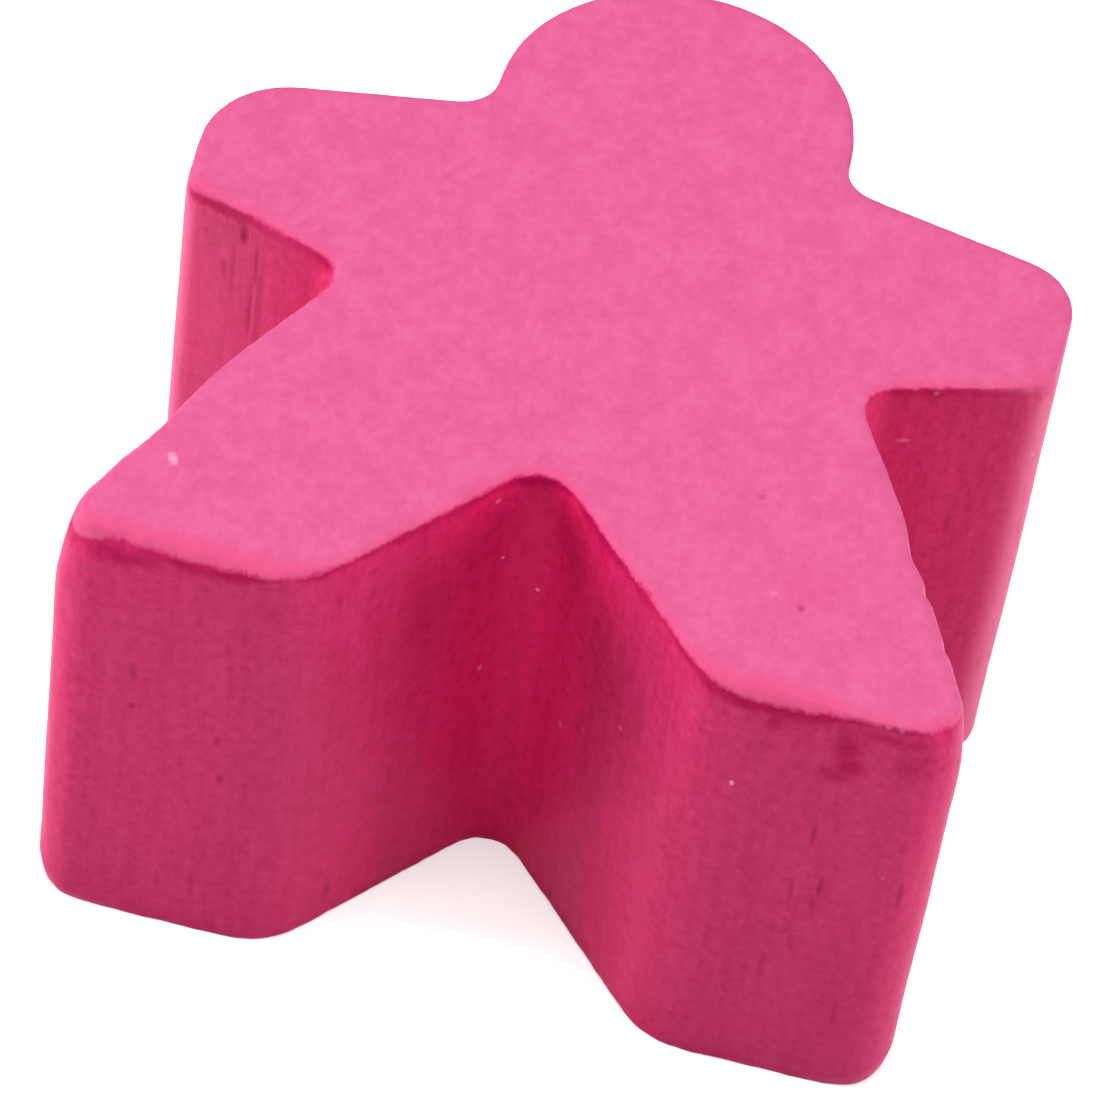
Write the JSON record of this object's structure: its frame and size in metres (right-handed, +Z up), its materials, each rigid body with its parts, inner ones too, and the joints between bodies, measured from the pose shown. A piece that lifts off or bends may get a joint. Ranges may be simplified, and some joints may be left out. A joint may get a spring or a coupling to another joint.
{
  "type": "meeple",
  "caption": "Flat person-shaped wooden game piece with a round head, outstretched arms and splayed legs, painted in one plain colour.",
  "frame": {"origin": "on the lower large face, under the middle of the object's box", "axes": "+X across the arms, +Y from the soles towards the head, +Z up through the thickness, along the grain"},
  "size_m": [0.016, 0.0164, 0.01],
  "materials": {
    "painted_wood": "satin paint soaked into the wood"
  },
  "bodies": {
    "root": {"wooden_body": "painted_wood"}
  },
  "joints": []
}
